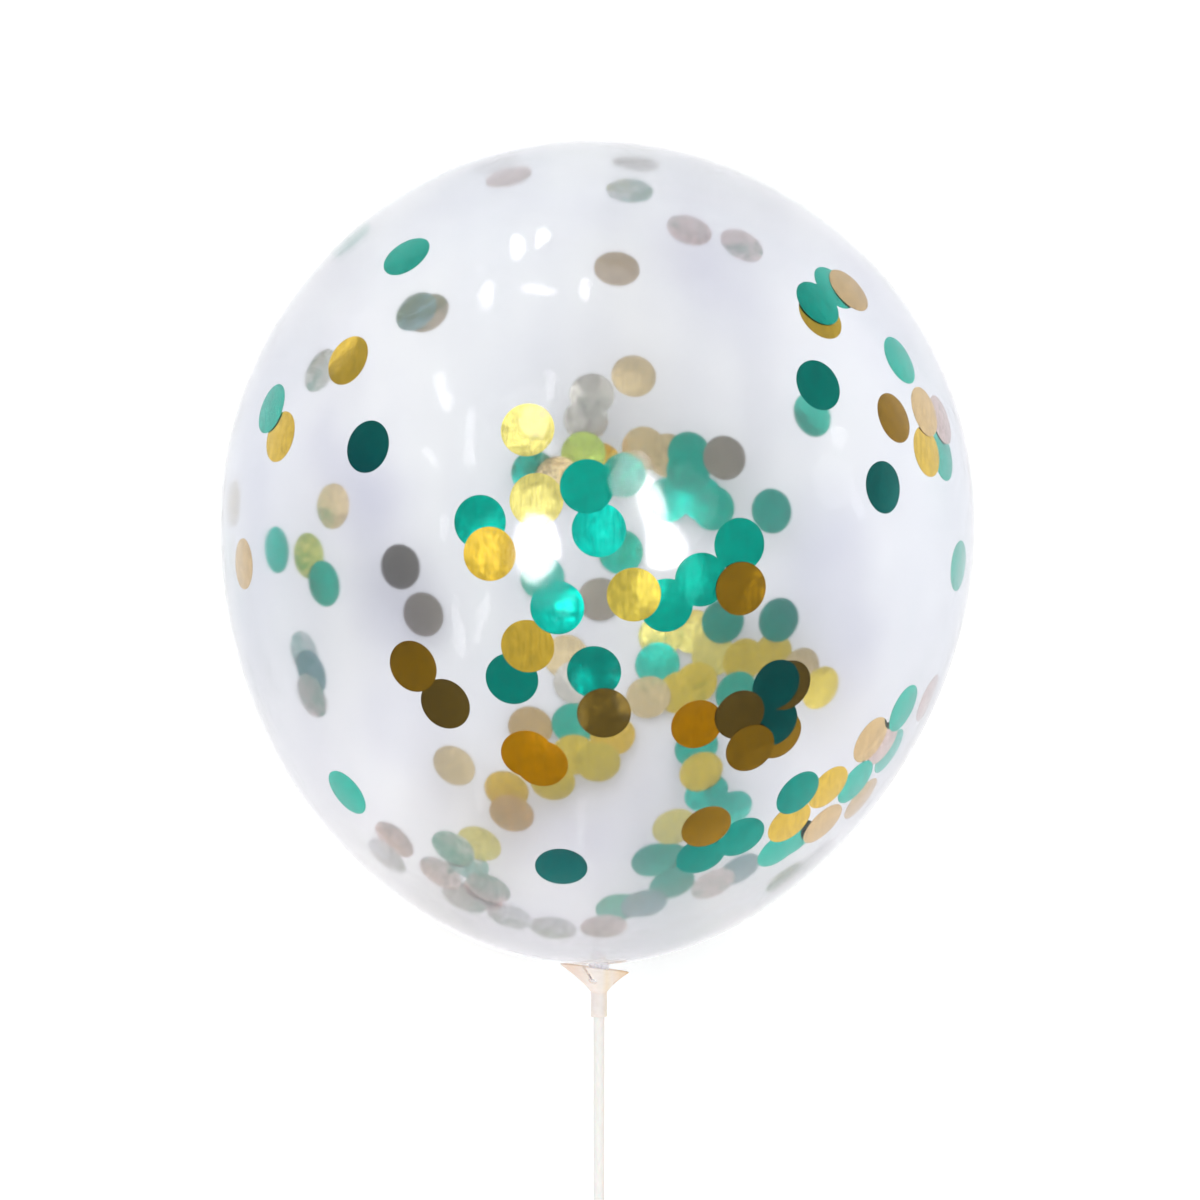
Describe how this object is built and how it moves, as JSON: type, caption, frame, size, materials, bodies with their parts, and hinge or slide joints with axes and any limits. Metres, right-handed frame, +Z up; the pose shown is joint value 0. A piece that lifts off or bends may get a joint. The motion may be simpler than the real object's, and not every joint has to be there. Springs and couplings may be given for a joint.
{
  "type": "confetti balloon on a stick",
  "caption": "Clear round latex balloon with foil confetti sealed inside, its neck tied in a slotted cup on a hollow stick. It lies on a flat surface.",
  "frame": {"origin": "middle of the whole object's footprint, on the surface that it lies on", "axes": "+Z up from that surface, +Y along the object's length towards the balloon's crown, +X across it, to the right when the balloon is seen from above with its crown at the top"},
  "size_m": [0.305, 0.7272, 0.3043],
  "materials": {
    "latex": "clear, glossy, slightly milky",
    "cup_plastic": "soft, blush white, slightly see-through",
    "stick_plastic": "satin white",
    "foil_teal": "teal metallised film, mirror-like with a fine dimple, for the confetti discs",
    "foil_gold": "gold metallised film, mirror-like with a fine dimple, for the confetti discs"
  },
  "bodies": {
    "root": {"balloon": "latex", "cup": "cup_plastic", "stick": "stick_plastic"}
  },
  "joints": []
}
